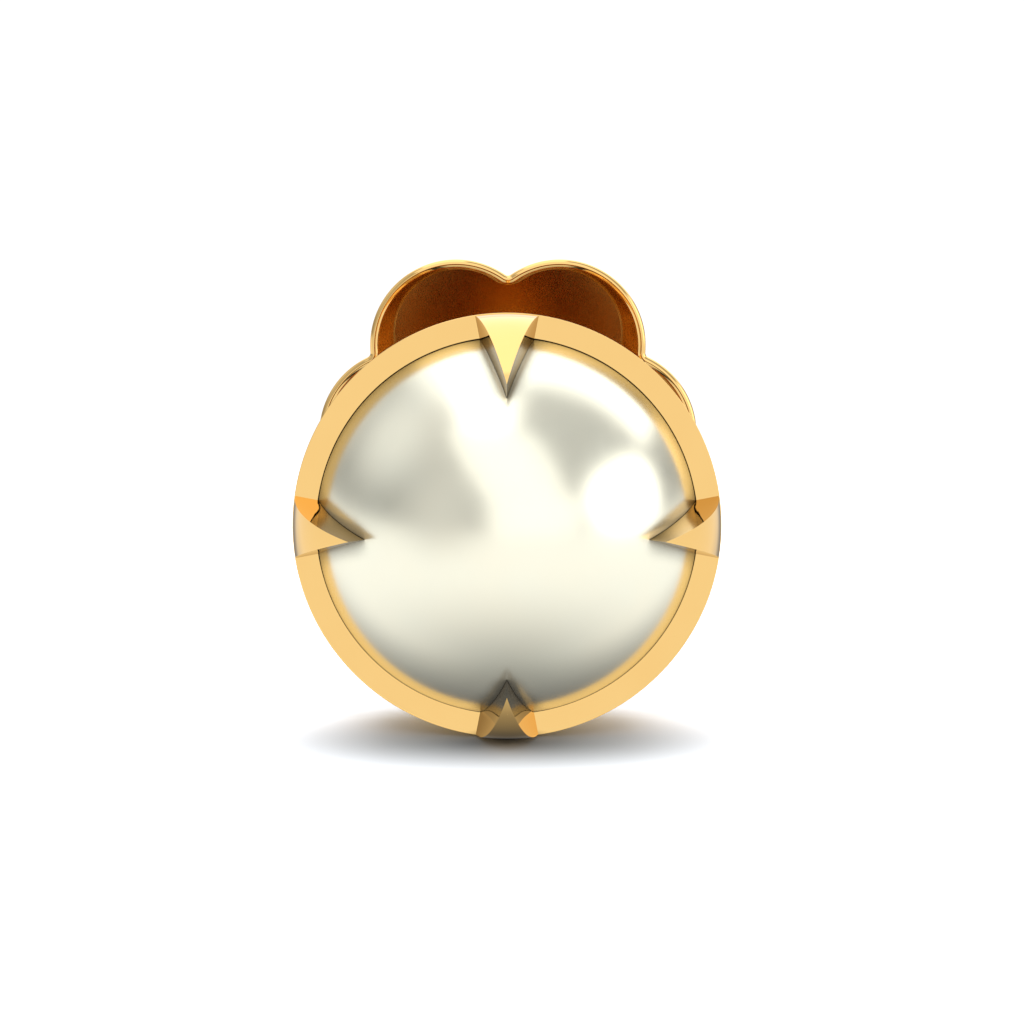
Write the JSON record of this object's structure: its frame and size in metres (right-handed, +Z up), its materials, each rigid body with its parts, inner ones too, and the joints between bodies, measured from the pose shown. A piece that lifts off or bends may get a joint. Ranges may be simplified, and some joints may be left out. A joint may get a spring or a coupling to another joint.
{
  "type": "pearl nose pin",
  "caption": "Stud nose pin: a button pearl in a round gold bezel with pointed claws, on a straight post with a scalloped cup nut.",
  "frame": {"origin": "on the surface that the pin lies on, under the middle of the whole pin", "axes": "+Y runs along the post from the pearl to the nut, the pearl faces -Y, +Z is up, and +X is to the right seen from the pearl's side"},
  "size_m": [0.0048, 0.0116, 0.0045],
  "materials": {
    "pearl_nacre": "soft lustre of cream nacre",
    "polished_gold": "mirror-polished yellow gold",
    "nut_gold": "mirror-polished yellow gold"
  },
  "bodies": {
    "setting": {"pearl": "pearl_nacre", "bezel_setting": "polished_gold"},
    "nut": {"screw_nut": "nut_gold"}
  },
  "joints": [
    {"name": "nut_travel", "type": "slide", "parent": "setting", "child": "nut", "axis": [0, 1, 0], "range_m": [-0.0043, 0.0024]}
  ]
}
